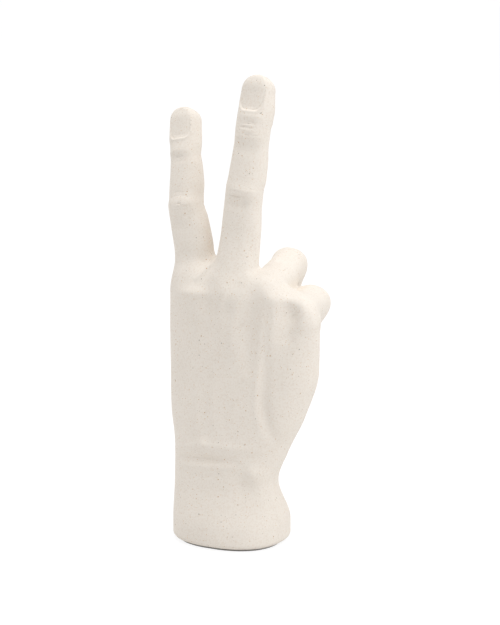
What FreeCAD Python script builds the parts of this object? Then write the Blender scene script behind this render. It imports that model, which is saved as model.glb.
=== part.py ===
import FreeCAD, Part
import math
import os

# Ceramic hand sculpture: a right hand standing on its wrist, with the index and middle
# fingers raised in a V, the ring and little fingers folded and the thumb laid across them.
# Millimetres. Z is up and zero is the face that the sculpture rests on. The back of the
# hand faces -Y, the palm +Y, the thumb's side -X and the little finger's side +X.

Vector = FreeCAD.Vector

# Foot, floor and cast wall
PAD_THICK = 1.2
PAD_SETBACK = 1.0
EDGE_ROUND = 2.5
FLOOR_THICK = 5.0
PALM_WALL = 6.0
VENT_RADIUS = 4.0
VENT_OFFSET = 15.0

# Heights of the wrist and palm, each counted from the one below it
FLARE_RISE = 9.0
WRIST_RISE = 21.5
HEEL_RISE = 15.5
SPREAD_RISE = 20.0
PALM_RISE = 25.0
KNUCKLE_RISE = 24.0
CROWN_RISE = 30.0

# Widths across the hand
BASE_WIDTH = 60.5
WRIST_WIDTH = 54.5
HEEL_WIDTH = 59.5
SPREAD_WIDTH = 72.5
PALM_WIDTH = 81.5
KNUCKLE_WIDTH = 82.5
CROWN_WIDTH = 50.0

# How far the back of the hand lies behind the middle plane
BASE_BACK = 26.5
WRIST_BACK = 21.0
HEEL_BACK = 20.5
SPREAD_BACK = 19.5
PALM_BACK = 17.5
KNUCKLE_BACK = 16.0
CROWN_BACK = 13.0

# How far the palm side lies before the middle plane
BASE_FRONT = 26.5
WRIST_FRONT = 20.0
HEEL_FRONT = 20.0
SPREAD_FRONT = 18.0
PALM_FRONT = 15.5
KNUCKLE_FRONT = 13.0
CROWN_FRONT = 9.0

# How far the middle line drifts towards the little finger
WRIST_DRIFT = -3.0
HEEL_DRIFT = 0.0
SPREAD_DRIFT = 3.5
PALM_DRIFT = 7.2
KNUCKLE_DRIFT = 7.4
CROWN_DRIFT = -8.0

# Pads of the palm, below the thumb and below the little finger
THENAR_BULGE = 15.0
THENAR_SIZE = 20.0
HYPOTHENAR_BULGE = 6.0
HYPOTHENAR_SIZE = 16.0

# Bones of each finger from joint to joint, and its width at the middle joint
INDEX_PROXIMAL = 47.0
INDEX_MIDDLE = 26.8
INDEX_DISTAL = 25.5
INDEX_WIDTH = 18.2
MIDDLE_PROXIMAL = 49.4
MIDDLE_MIDDLE = 30.3
MIDDLE_DISTAL = 27.3
MIDDLE_WIDTH = 19.0
RING_PROXIMAL = 47.3
RING_MIDDLE = 27.0
RING_DISTAL = 24.0
RING_WIDTH = 17.3
LITTLE_PROXIMAL = 32.4
LITTLE_MIDDLE = 20.0
LITTLE_DISTAL = 20.0
LITTLE_WIDTH = 17.2
THUMB_PROXIMAL = 33.7
THUMB_DISTAL = 30.8
THUMB_WIDTH = 19.0

# Knuckles: depth under the back of the hand, and rise above the knuckle level of the palm
KNUCKLE_SINK = 12.0
RING_SINK = 13.7
LITTLE_SINK = 17.0
INDEX_UP = 9.8
MIDDLE_UP = 18.0
RING_UP = 15.5
LITTLE_UP = 6.2

# Thumb: its tip from the ring finger's last joint, and how far it is pressed against that finger
THUMB_REACH = 13.5
THUMB_LIFT = 10.0
THUMB_OVERLAP = 1.5

# Smallest radius inside a bent joint
FOLD_RADIUS = 1.2

# Directions in degrees: lean across the hand, turn about the upright, bend of each joint
INDEX_LEAN_ANGLE, INDEX_TURN_ANGLE, INDEX_BEND_ANGLES = -14.4, 13.0, (7.6, 8.2, 3.4)
MIDDLE_LEAN_ANGLE, MIDDLE_TURN_ANGLE, MIDDLE_BEND_ANGLES = 5.8, -10.0, (5.8, 1.8, 3.6)
RING_LEAN_ANGLE, RING_TURN_ANGLE, RING_BEND_ANGLES = 11.0, -11.2, (84.0, 113.0, 54.0)
LITTLE_LEAN_ANGLE, LITTLE_TURN_ANGLE, LITTLE_BEND_ANGLES = 21.5, -11.2, (94.0, 116.0, 44.0)
THUMB_HEADING_ANGLES, THUMB_CLIMB_ANGLES = (40.8, 8.7), (30.3, 31.3)
THUMB_SIDE = Vector(-0.71, -0.26, 0.66)

# Knuckle places as shares of the half width of the palm
INDEX_SIDE_SHARE = -0.57
MIDDLE_SIDE_SHARE = -0.09
RING_SIDE_SHARE = 0.3
LITTLE_SIDE_SHARE = 0.72
THUMB_SIDE_SHARE = -0.42
THUMB_FRONT_SHARE = 0.45

# Half widths along a finger as shares of its half width, at each joint and between joints
STRAIGHT_SHARES = (1.2, 1.09, 0.99, 0.955, 0.89, 0.93, 0.88)
FOLDED_SHARES = (1.16, 1.08, 1.04, 1.0, 0.94, 0.92, 0.84)
THUMB_SHARES = (1.85, 1.62, 1.25, 1.05, 1.05, 1.02, 0.88)
DEPTH_SHARE = 0.94
TIP_SHARE = 0.5
FILL_SHARE = 0.66
STATION_SHARES = (0.0, 0.5, 1.0)
END_SHARES = (0.32, 0.58, 0.8, 0.94)

# Places of the pads and of the closing domes, as shares
THENAR_SIDE_SHARE = -0.5
HYPOTHENAR_SIDE_SHARE = 0.62
PAD_STRETCH_SHARE = 1.7
SHOULDER_SHARE = 0.4
EDGE_SHARES = (0.0, 0.35, 0.7)

# Counts, the largest step round a bend in degrees, and the squareness of the outlines
PALM_POINTS = 24
FINGER_POINTS = 16
PALM_SECTIONS = 14
BEND_STEP_ANGLE = 20.0
PALM_POWER = 2.3
FINGER_POWER = 2.15

# Heights worked out from the rises
BASE_Z = PAD_THICK
FLOOR_Z = BASE_Z + FLOOR_THICK
FLARE_Z = BASE_Z + FLARE_RISE
WRIST_Z = FLARE_Z + WRIST_RISE
HEEL_Z = WRIST_Z + HEEL_RISE
SPREAD_Z = HEEL_Z + SPREAD_RISE
PALM_Z = SPREAD_Z + PALM_RISE
KNUCKLE_Z = PALM_Z + KNUCKLE_RISE
CROWN_Z = KNUCKLE_Z + CROWN_RISE
SHOULDER_Z = KNUCKLE_Z + SHOULDER_SHARE * CROWN_RISE

# Height, width, back, front and drift of each level of the wrist and palm
LEVELS = (
    (BASE_Z, BASE_WIDTH, BASE_BACK, BASE_FRONT, 0.0),
    (FLARE_Z, BASE_WIDTH, BASE_BACK, BASE_FRONT, 0.0),
    (WRIST_Z, WRIST_WIDTH, WRIST_BACK, WRIST_FRONT, WRIST_DRIFT),
    (HEEL_Z, HEEL_WIDTH, HEEL_BACK, HEEL_FRONT, HEEL_DRIFT),
    (SPREAD_Z, SPREAD_WIDTH, SPREAD_BACK, SPREAD_FRONT, SPREAD_DRIFT),
    (PALM_Z, PALM_WIDTH, PALM_BACK, PALM_FRONT, PALM_DRIFT),
    (KNUCKLE_Z, KNUCKLE_WIDTH, KNUCKLE_BACK, KNUCKLE_FRONT, KNUCKLE_DRIFT),
    (CROWN_Z, CROWN_WIDTH, CROWN_BACK, CROWN_FRONT, CROWN_DRIFT),
)


# Curves and lofts


def blend_curve(xs, ys, x):
    """Value at x of a smooth curve through the stations, with no overshoot between them."""
    if x <= xs[0]:
        return ys[0]
    if x >= xs[-1]:
        return ys[-1]
    slopes = [(ys[i + 1] - ys[i]) / (xs[i + 1] - xs[i]) for i in range(len(xs) - 1)]
    tangents = [slopes[0]]
    for a, b in zip(slopes[:-1], slopes[1:]):
        tangents.append(0.0 if a * b <= 0 else 2 * a * b / (a + b))
    tangents.append(slopes[-1])
    i = max(k for k in range(len(xs) - 1) if xs[k] <= x)
    h = xs[i + 1] - xs[i]
    t = (x - xs[i]) / h
    ends = ys[i] * (1 + 2 * t) * (1 - t) ** 2 + ys[i + 1] * t * t * (3 - 2 * t)
    return ends + h * t * (1 - t) * (tangents[i] * (1 - t) - tangents[i + 1] * t)


def quarter_round(share):
    """Rise and remaining size of a quarter round, at a share of its turn."""
    angle = share * math.pi / 2
    return math.sin(angle), math.cos(angle)


def closed_wire(points):
    curve = Part.BSplineCurve()
    curve.interpolate(Points=points, PeriodicFlag=True)
    return Part.Wire(curve.toShape())


def loft(outlines):
    solid = Part.makeLoft([closed_wire(points) for points in outlines], True, False)
    return solid if solid.Volume > 0 else solid.reversed()


def largest(shape):
    return max(shape.Solids, key=lambda solid: solid.Volume)


# Wrist and palm


def palm_level(z):
    """Half width, back, front and drift of the palm at a height."""
    heights = [level[0] for level in LEVELS]
    width, back, front, drift = (
        blend_curve(heights, [level[k] for level in LEVELS], z) for k in (1, 2, 3, 4)
    )
    return width / 2, back, front, drift


def hill(distance, size):
    return math.exp(-((distance / size) ** 2))


def palm_bulge(x, z):
    """How far the pads of the palm stand out at a place."""
    half, _, _, drift = palm_level(z)
    total = 0.0
    for bulge, size, share in (
        (THENAR_BULGE, THENAR_SIZE, THENAR_SIDE_SHARE),
        (HYPOTHENAR_BULGE, HYPOTHENAR_SIZE, HYPOTHENAR_SIDE_SHARE),
    ):
        side = hill(x - drift - share * half, size)
        total += bulge * side * hill(z - SPREAD_Z, PAD_STRETCH_SHARE * size)
    return total


def palm_outline(z, inset, shrink=1.0):
    """Outline of the palm at a height, moved in by an inset and shrunk about its middle."""
    half, back, front, drift = palm_level(z)
    points = []
    for i in range(PALM_POINTS):
        angle = 2 * math.pi * i / PALM_POINTS
        c, s = math.cos(angle), math.sin(angle)
        depth = front if s > 0 else back
        radius = ((abs(c) / half) ** PALM_POWER + (abs(s) / depth) ** PALM_POWER) ** (-1 / PALM_POWER)
        x, y = radius * c, radius * s
        normal = Vector(
            math.copysign((abs(x) / half) ** (PALM_POWER - 1) / half, x),
            math.copysign((abs(y) / depth) ** (PALM_POWER - 1) / depth, y),
            0,
        )
        normal.normalize()
        y += palm_bulge(drift + x, z) * max(0.0, s)
        points.append(Vector(drift + (x - inset * normal.x) * shrink, (y - inset * normal.y) * shrink, z))
    return points


def wall_outlines(bottom, top, inset):
    """Outlines between two heights."""
    step = (top - bottom) / (PALM_SECTIONS - 1)
    return [palm_outline(bottom + step * i, inset) for i in range(PALM_SECTIONS)]


def dome_outlines(bottom, top, inset):
    """Outlines that close to a crown between two heights."""
    outlines = []
    for share in END_SHARES:
        rise, size = quarter_round(share)
        outlines.append(palm_outline(bottom + (top - bottom) * rise, inset, size))
    return outlines


def palm_form():
    """Outer form of the wrist and palm above the floor."""
    return loft(wall_outlines(FLOOR_Z, SHOULDER_Z, 0.0) + dome_outlines(SHOULDER_Z, CROWN_Z, 0.0))


def palm_cavity():
    """Space inside the cast wall, open at the wrist."""
    top = SHOULDER_Z - PALM_WALL
    return loft(wall_outlines(FLOOR_Z, top, PALM_WALL) + dome_outlines(top, SHOULDER_Z, PALM_WALL))


def foot_prism(bottom, top, inset):
    """Straight piece of the foot between two heights."""
    face = Part.Face(closed_wire(palm_outline(BASE_Z, inset)))
    face.translate(Vector(0, 0, bottom - BASE_Z))
    return face.extrude(Vector(0, 0, top - bottom))


def vent():
    """Round hole up through the foot."""
    return Part.makeCylinder(VENT_RADIUS, FLOOR_Z, Vector(VENT_OFFSET, 0, 0))


def base_slab():
    """Closing floor of the wrist, its lower edge rounded."""
    outlines = []
    for share in EDGE_SHARES:
        rise, size = quarter_round(share)
        outlines.append(palm_outline(BASE_Z + EDGE_ROUND * (1 - size), EDGE_ROUND * (1 - rise)))
    outlines += [palm_outline(BASE_Z + EDGE_ROUND, 0.0), palm_outline(FLOOR_Z, 0.0)]
    return loft(outlines).cut(vent())


def felt_pad():
    """Felt under the floor, set back from its rounded edge."""
    return foot_prism(0.0, PAD_THICK, EDGE_ROUND + PAD_SETBACK).cut(vent())


# Fingers


def section(place, axis, side, half_width, half_depth):
    """Outline square to a finger's axis."""
    across = side - axis * side.dot(axis)
    across.normalize()
    deep = axis.cross(across)
    points = []
    for i in range(FINGER_POINTS):
        angle = 2 * math.pi * i / FINGER_POINTS
        c, s = math.cos(angle), math.sin(angle)
        radius = (abs(c) ** FINGER_POWER + abs(s) ** FINGER_POWER) ** (-1 / FINGER_POWER)
        points.append(place + across * (half_width * radius * c) + deep * (half_depth * radius * s))
    return points


def spine_stations(joints, fold_radii):
    """Place, axis and measure along a chain of bones that turns on an arc at each joint."""
    bones = [end - start for start, end in zip(joints[:-1], joints[1:])]
    axes = [bone / bone.Length for bone in bones]
    angles = [0.0] + [a.getAngle(b) for a, b in zip(axes[:-1], axes[1:])] + [0.0]
    trims = [radius * math.tan(angle / 2) for radius, angle in zip(fold_radii, angles)]
    stations = []
    for i, (bone, axis) in enumerate(zip(bones, axes)):
        run = bone.Length - trims[i] - trims[i + 1]
        for share in STATION_SHARES:
            along = trims[i] + run * share
            stations.append((joints[i] + axis * along, axis, i + along / bone.Length))
        if i + 1 < len(bones):
            stations += bend_stations(stations[-1], axes[i + 1], fold_radii[i + 1], i + 1)
    return stations


def bend_stations(last, next_axis, radius, joint):
    """Stations on the arc that follows one bone and leads to the next."""
    place, axis, measure = last
    hinge = axis.cross(next_axis)
    hinge.normalize()
    inward = hinge.cross(axis)
    centre = place + inward * radius
    angle = math.degrees(axis.getAngle(next_axis))
    steps = max(2, math.ceil(angle / BEND_STEP_ANGLE))
    stations = []
    for k in range(1, steps):
        turn = FreeCAD.Rotation(hinge, angle * k / steps)
        spread = (joint - measure) * 2 * k / steps
        stations.append((centre - turn.multVec(inward) * radius, turn.multVec(axis), measure + spread))
    return stations


def bone_chain(joints, width, shares, side):
    """Loft along a chain of bones, domed at both ends; the last joint is the tip's end."""
    measures = [i * (len(joints) - 1) / (len(shares) - 1) for i in range(len(shares))]

    def half_width(measure):
        return width / 2 * blend_curve(measures, shares, measure)

    tip_depth = TIP_SHARE * width
    last_axis = joints[-1] - joints[-2]
    last_axis.normalize()
    joints = list(joints[:-1]) + [joints[-1] - last_axis * tip_depth]
    fold_radii = [half_width(i) * DEPTH_SHARE + FOLD_RADIUS for i in range(len(joints))]
    outlines = []
    stations = spine_stations(joints, fold_radii)
    place, axis, measure = stations[0]
    for share in reversed(END_SHARES):
        rise, size = quarter_round(share)
        half = half_width(measure)
        start = place - axis * (half * rise)
        outlines.append(section(start, axis, side, half * size, half * size * DEPTH_SHARE))
    for place, axis, measure in stations:
        half = half_width(measure)
        outlines.append(section(place, axis, side, half, half * DEPTH_SHARE))
    for share in END_SHARES:
        rise, size = quarter_round(share)
        end = place + axis * (tip_depth * rise)
        outlines.append(section(end, axis, side, half * size, half * size * DEPTH_SHARE))
    return loft(outlines)


def finger_joints(knuckle, lean, turn, bones, bends):
    """Joints of a finger from its knuckle to its tip."""
    lean, turn = math.radians(lean), math.radians(turn)
    up = Vector(math.sin(lean), 0, math.cos(lean))
    palmward = Vector(math.sin(turn), math.cos(turn), 0)
    joints, bend = [knuckle], 0.0
    for bone, more in zip(bones, bends):
        bend += math.radians(more)
        direction = up * math.cos(bend) + palmward * math.sin(bend)
        joints.append(joints[-1] + direction * (bone / direction.Length))
    return joints, palmward.cross(up)


def knuckle_place(side_share, sink, up):
    """Centre of a knuckle in the palm."""
    half, back, _, drift = palm_level(KNUCKLE_Z)
    return Vector(drift + side_share * half, sink - back, KNUCKLE_Z + up)


def straight_finger(knuckle, lean, turn, bones, bends, width):
    joints, side = finger_joints(knuckle, lean, turn, bones, bends)
    return bone_chain(joints, width, STRAIGHT_SHARES, side)


def fold_fill(joints, width, side):
    """Clay that fills the space inside a folded finger."""
    half = side * (width * FILL_SHARE / 2 / side.Length)
    face = Part.Face(Part.makePolygon([place - half for place in joints + joints[:1]]))
    return face.extrude(half * 2)


def folded_finger(knuckle, lean, turn, bones, bends, width):
    """Finger whose middle joint folds sharply: two lofts that meet at it, and the clay between."""
    joints, side = finger_joints(knuckle, lean, turn, bones, bends)
    upper_axis = joints[1] - joints[0]
    upper_axis.normalize()
    knee = joints[1] + upper_axis * (FOLDED_SHARES[2] * width / 2)
    upper = bone_chain([joints[0], knee], width, FOLDED_SHARES[:3], side)
    lower = bone_chain(joints[1:], width, FOLDED_SHARES[2:], side)
    return upper.fuse([lower, fold_fill(joints, width, side)])


def index_finger():
    knuckle = knuckle_place(INDEX_SIDE_SHARE, KNUCKLE_SINK, INDEX_UP)
    bones = (INDEX_PROXIMAL, INDEX_MIDDLE, INDEX_DISTAL)
    return straight_finger(
        knuckle, INDEX_LEAN_ANGLE, INDEX_TURN_ANGLE, bones, INDEX_BEND_ANGLES, INDEX_WIDTH
    )


def middle_finger():
    knuckle = knuckle_place(MIDDLE_SIDE_SHARE, KNUCKLE_SINK, MIDDLE_UP)
    bones = (MIDDLE_PROXIMAL, MIDDLE_MIDDLE, MIDDLE_DISTAL)
    return straight_finger(
        knuckle, MIDDLE_LEAN_ANGLE, MIDDLE_TURN_ANGLE, bones, MIDDLE_BEND_ANGLES, MIDDLE_WIDTH
    )


RING_BONES = (RING_PROXIMAL, RING_MIDDLE, RING_DISTAL)


def ring_knuckle():
    return knuckle_place(RING_SIDE_SHARE, RING_SINK, RING_UP)


def ring_finger():
    return folded_finger(
        ring_knuckle(), RING_LEAN_ANGLE, RING_TURN_ANGLE, RING_BONES, RING_BEND_ANGLES, RING_WIDTH
    )


def little_finger():
    knuckle = knuckle_place(LITTLE_SIDE_SHARE, LITTLE_SINK, LITTLE_UP)
    bones = (LITTLE_PROXIMAL, LITTLE_MIDDLE, LITTLE_DISTAL)
    return folded_finger(
        knuckle, LITTLE_LEAN_ANGLE, LITTLE_TURN_ANGLE, bones, LITTLE_BEND_ANGLES, LITTLE_WIDTH
    )


def thumb_joints():
    """Joints of the thumb, worked back from the ring finger on which its tip lies."""
    ring, _ = finger_joints(ring_knuckle(), RING_LEAN_ANGLE, RING_TURN_ANGLE, RING_BONES, RING_BEND_ANGLES)
    rest = (RING_WIDTH + THUMB_WIDTH) * DEPTH_SHARE / 2 - THUMB_OVERLAP
    tip = ring[2] + Vector(THUMB_REACH, rest, THUMB_LIFT)
    joints = [tip]
    bones = list(zip((THUMB_PROXIMAL, THUMB_DISTAL), THUMB_HEADING_ANGLES, THUMB_CLIMB_ANGLES))
    for bone, heading, climb in reversed(bones):
        heading, climb = math.radians(heading), math.radians(climb)
        level = math.cos(climb)
        axis = Vector(level * math.cos(heading), level * math.sin(heading), math.sin(climb))
        joints.insert(0, joints[0] - axis * bone)
    half, _, front, drift = palm_level(HEEL_Z)
    root = Vector(drift + THUMB_SIDE_SHARE * half, THUMB_FRONT_SHARE * front, HEEL_Z)
    return [root] + joints


def thumb_web(joints):
    """Skin web from the thumb's first bone back to the palm."""
    _, knuckle, middle, _ = joints
    anchor = Vector(palm_level(middle.z)[3], 0, middle.z)
    side = (middle - knuckle).cross(anchor - knuckle)
    half = side * (THUMB_WIDTH * FILL_SHARE / 2 / side.Length)
    corners = [knuckle - half, middle - half, anchor - half]
    return Part.Face(Part.makePolygon(corners + corners[:1])).extrude(half * 2)


def thumb():
    joints = thumb_joints()
    return bone_chain(joints, THUMB_WIDTH, THUMB_SHARES, THUMB_SIDE).fuse(thumb_web(joints))


# Assembly: each piece is cut where the one before it lies, so that they meet face to face


def build():
    palm = palm_form()
    index, middle, ring, little = index_finger(), middle_finger(), ring_finger(), little_finger()
    return {
        "wrist_palm_shell": palm.cut(palm_cavity()),
        "base_slab": base_slab(),
        "felt_pad": felt_pad(),
        "index_finger": largest(index.cut(palm)),
        "middle_finger": largest(middle.cut([palm, index])),
        "ring_finger": largest(ring.cut([palm, middle])),
        "little_finger": largest(little.cut([palm, ring])),
        "thumb": largest(thumb().cut([palm, ring, little])),
    }


os.makedirs("parts", exist_ok=True)
for node, shape in build().items():
    box = shape.BoundBox
    print(node, len(shape.Solids), shape.isValid(), round(shape.Volume), box)
    shape.exportStep("parts/" + node + ".step")
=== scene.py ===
import math

import bmesh
import bpy
import numpy as np
from mathutils import Matrix, Vector


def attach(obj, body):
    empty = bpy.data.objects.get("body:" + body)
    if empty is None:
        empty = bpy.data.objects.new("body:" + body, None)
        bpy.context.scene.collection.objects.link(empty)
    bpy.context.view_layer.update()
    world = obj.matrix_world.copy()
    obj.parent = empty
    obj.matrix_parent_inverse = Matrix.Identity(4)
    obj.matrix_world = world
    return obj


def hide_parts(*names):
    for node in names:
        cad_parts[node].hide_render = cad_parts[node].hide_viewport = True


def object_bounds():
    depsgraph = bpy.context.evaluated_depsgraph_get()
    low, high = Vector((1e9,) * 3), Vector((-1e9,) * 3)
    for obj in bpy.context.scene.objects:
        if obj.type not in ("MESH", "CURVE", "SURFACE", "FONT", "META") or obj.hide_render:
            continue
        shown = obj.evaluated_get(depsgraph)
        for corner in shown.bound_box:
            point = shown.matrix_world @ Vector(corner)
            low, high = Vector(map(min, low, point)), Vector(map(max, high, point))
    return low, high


# Ceramic hand sculpture: the looks. The hand and the pad are worked out in millimetres, and
# MM turns them into metres. The skeleton repeats the driving dimensions of the solids.
# An array named p holds one point in each row.

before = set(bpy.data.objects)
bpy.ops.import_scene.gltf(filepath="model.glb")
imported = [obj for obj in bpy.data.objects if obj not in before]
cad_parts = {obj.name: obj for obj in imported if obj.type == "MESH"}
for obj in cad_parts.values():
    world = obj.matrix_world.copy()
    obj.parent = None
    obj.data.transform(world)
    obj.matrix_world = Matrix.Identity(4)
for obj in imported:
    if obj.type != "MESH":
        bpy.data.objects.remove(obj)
cad_low, cad_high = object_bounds()
MM = 0.001

# Foot
PAD_THICK = 1.2
PAD_SETBACK = 1.0
EDGE_ROUND = 2.5
FLOOR_THICK = 5.0
VENT_RADIUS = 4.0
VENT_OFFSET = 15.0
BASE_Z = PAD_THICK
FLOOR_Z = BASE_Z + FLOOR_THICK

# Levels of the wrist and palm: rise from the level below, width, back, front and drift
LEVELS = (
    (0.0, 60.5, 26.5, 26.5, 0.0),
    (9.0, 60.5, 26.5, 26.5, 0.0),
    (21.5, 54.5, 21.0, 20.0, -3.0),
    (15.5, 59.5, 20.5, 20.0, 0.0),
    (20.0, 72.5, 19.5, 18.0, 3.5),
    (25.0, 81.5, 17.5, 15.5, 7.2),
    (24.0, 82.5, 16.0, 13.0, 7.4),
    (30.0, 50.0, 13.0, 9.0, -8.0),
)
LEVEL_Z = BASE_Z + np.cumsum([level[0] for level in LEVELS])
HEEL_Z, SPREAD_Z, KNUCKLE_Z, CROWN_Z = LEVEL_Z[3], LEVEL_Z[4], LEVEL_Z[6], LEVEL_Z[7]
SHOULDER_SHARE = 0.4
SHOULDER_Z = KNUCKLE_Z + SHOULDER_SHARE * (CROWN_Z - KNUCKLE_Z)
PALM_POWER = 2.3
LIMB_POWER = 2.25

# Pads of the palm: bulge, size and side share
THENAR = (15.0, 20.0, -0.5)
HYPOTHENAR = (6.0, 16.0, 0.62)
PAD_STRETCH = 1.7

# Fingers: side share, sink and rise of the knuckle; lean and turn; bones; bends; width
INDEX = (-0.57, 12.0, 9.8, -14.4, 13.0, (47.0, 26.8, 25.5), (7.6, 8.2, 3.4), 18.2)
MIDDLE = (-0.09, 12.0, 18.0, 5.8, -10.0, (49.4, 30.3, 27.3), (5.8, 1.8, 3.6), 19.0)
RING = (0.3, 13.7, 15.5, 11.0, -11.2, (47.3, 27.0, 24.0), (84.0, 113.0, 54.0), 17.3)
LITTLE = (0.72, 17.0, 6.2, 21.5, -11.2, (32.4, 20.0, 20.0), (94.0, 116.0, 44.0), 17.2)

# Thumb
THUMB_BONES = (33.7, 30.8)
THUMB_HEADINGS = (40.8, 8.7)
THUMB_CLIMBS = (30.3, 31.3)
THUMB_WIDTH = 19.0
THUMB_REACH = 13.5
THUMB_LIFT = 10.0
THUMB_OVERLAP = 1.5
THUMB_ROOT_SHARES = (-0.42, 0.45)
THUMB_SIDE = np.array((-0.71, -0.26, 0.66))
DEPTH_SHARE = 0.94

# Section tables along a limb: measure counted in bones, then share of the half width
INDEX_LEFT_SHARES = (
    (0, 1.14), (0.3, 1.27), (0.6, 1.05), (0.85, 1.03), (1.0, 1.02), (1.15, 0.99), (1.45, 0.9),
    (1.75, 0.78), (2.0, 0.75), (2.2, 0.775), (2.5, 0.88), (3.0, 0.855),
)
INDEX_RIGHT_SHARES = (
    (0, 1.14), (0.3, 0.98), (0.6, 1.16), (0.85, 1.11), (1.0, 0.97), (1.15, 0.94), (1.45, 1.03),
    (1.75, 1.04), (2.0, 0.97), (2.2, 0.975), (2.5, 0.94), (3.0, 0.97),
)
MIDDLE_LEFT_SHARES = (
    (0, 1.12), (0.3, 1.11), (0.6, 1.065), (0.85, 1.05), (1.0, 1.05), (1.15, 1.01), (1.45, 0.96),
    (1.75, 0.92), (2.0, 0.95), (2.2, 0.95), (2.5, 0.94), (3.0, 0.92),
)
MIDDLE_RIGHT_SHARES = (
    (0, 1.22), (0.3, 1.12), (0.6, 1.05), (0.85, 0.945), (1.0, 0.94), (1.15, 1.0), (1.45, 0.98),
    (1.75, 0.9), (2.0, 0.9), (2.2, 0.95), (2.5, 0.97), (2.8, 0.91), (3.0, 0.86),
)
RAISED_BACK_SHARES = (
    (0, 0.95), (0.5, 0.91), (0.85, 0.92), (1.0, 0.98), (1.15, 0.93), (1.5, 0.88), (1.9, 0.9),
    (2.0, 0.93), (2.15, 0.9), (2.5, 0.85), (3.0, 0.8),
)
RAISED_FRONT_SHARES = (
    (0, 1.0), (0.5, 1.04), (0.9, 0.93), (1.0, 0.91), (1.15, 0.97), (1.5, 1.0), (1.85, 0.93),
    (2.0, 0.91), (2.2, 0.97), (2.5, 1.04), (3.0, 0.95),
)
FOLDED_WIDE_SHARES = (
    (0, 1.14), (0.5, 1.05), (0.85, 1.03), (1.0, 1.05), (1.2, 1.02), (1.6, 0.98), (2.0, 0.96),
    (2.4, 0.95), (3.0, 0.86),
)
FOLDED_BACK_SHARES = ((0, 1.0), (0.5, 0.95), (1.0, 1.0), (1.5, 0.93), (2.0, 0.97), (3.0, 0.85))
FOLDED_FRONT_SHARES = ((0, 1.0), (1.5, 0.98), (3.0, 0.95))
THUMB_WIDE_SHARES = (
    (0, 1.85), (0.5, 1.62), (0.9, 1.3), (1.0, 1.25), (1.2, 1.12), (1.6, 1.03), (1.9, 1.06),
    (2.0, 1.07), (2.2, 1.05), (2.5, 1.1), (2.8, 1.02), (3.0, 0.95),
)
THUMB_BACK_SHARES = ((0, 0.95), (1.0, 0.95), (1.5, 0.9), (2.0, 0.93), (2.3, 0.82), (3.0, 0.68))
THUMB_FRONT_SHARES = ((0, 0.95), (1.0, 0.95), (2.0, 0.92), (2.5, 0.98), (3.0, 0.85))
TIP_SHARE = 0.47
TIP_TILT = 0.22
TIP_EASE = 8.0

# How far from a limb its distance is still worked out, and its relief
FAR = 22.0
LIMB_NEAR = 4.0

# Least values to divide by
SMALL = 1e-3
TINY = 1e-9

# Softness of the unions
PALM_SOFT = 6.0
THENAR_SOFT = 10.0
WEB_SOFT = 3.0
TOUCH_SOFT = 1.6
FOLDED_SOFT = 6.0
FOLD_SOFT = 2.2
FILL_SOFT = 5.0
FILL_SHARE = 0.7
WEB_SHARE = 0.75

# Where the relief of the palm and back fades, and the thumb starts to touch, along y
BACK_FADE = (-1.0, -7.0)
FRONT_FADE = (4.0, 10.0)
THUMB_FADE = (25.0, 21.0)
TOUCH_SPAN = (22.0, 34.0)
RELIEF_NEAR = 8.0

# Reaches beyond its line after which a stroke is left out
STROKE_REACHES = 3

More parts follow.
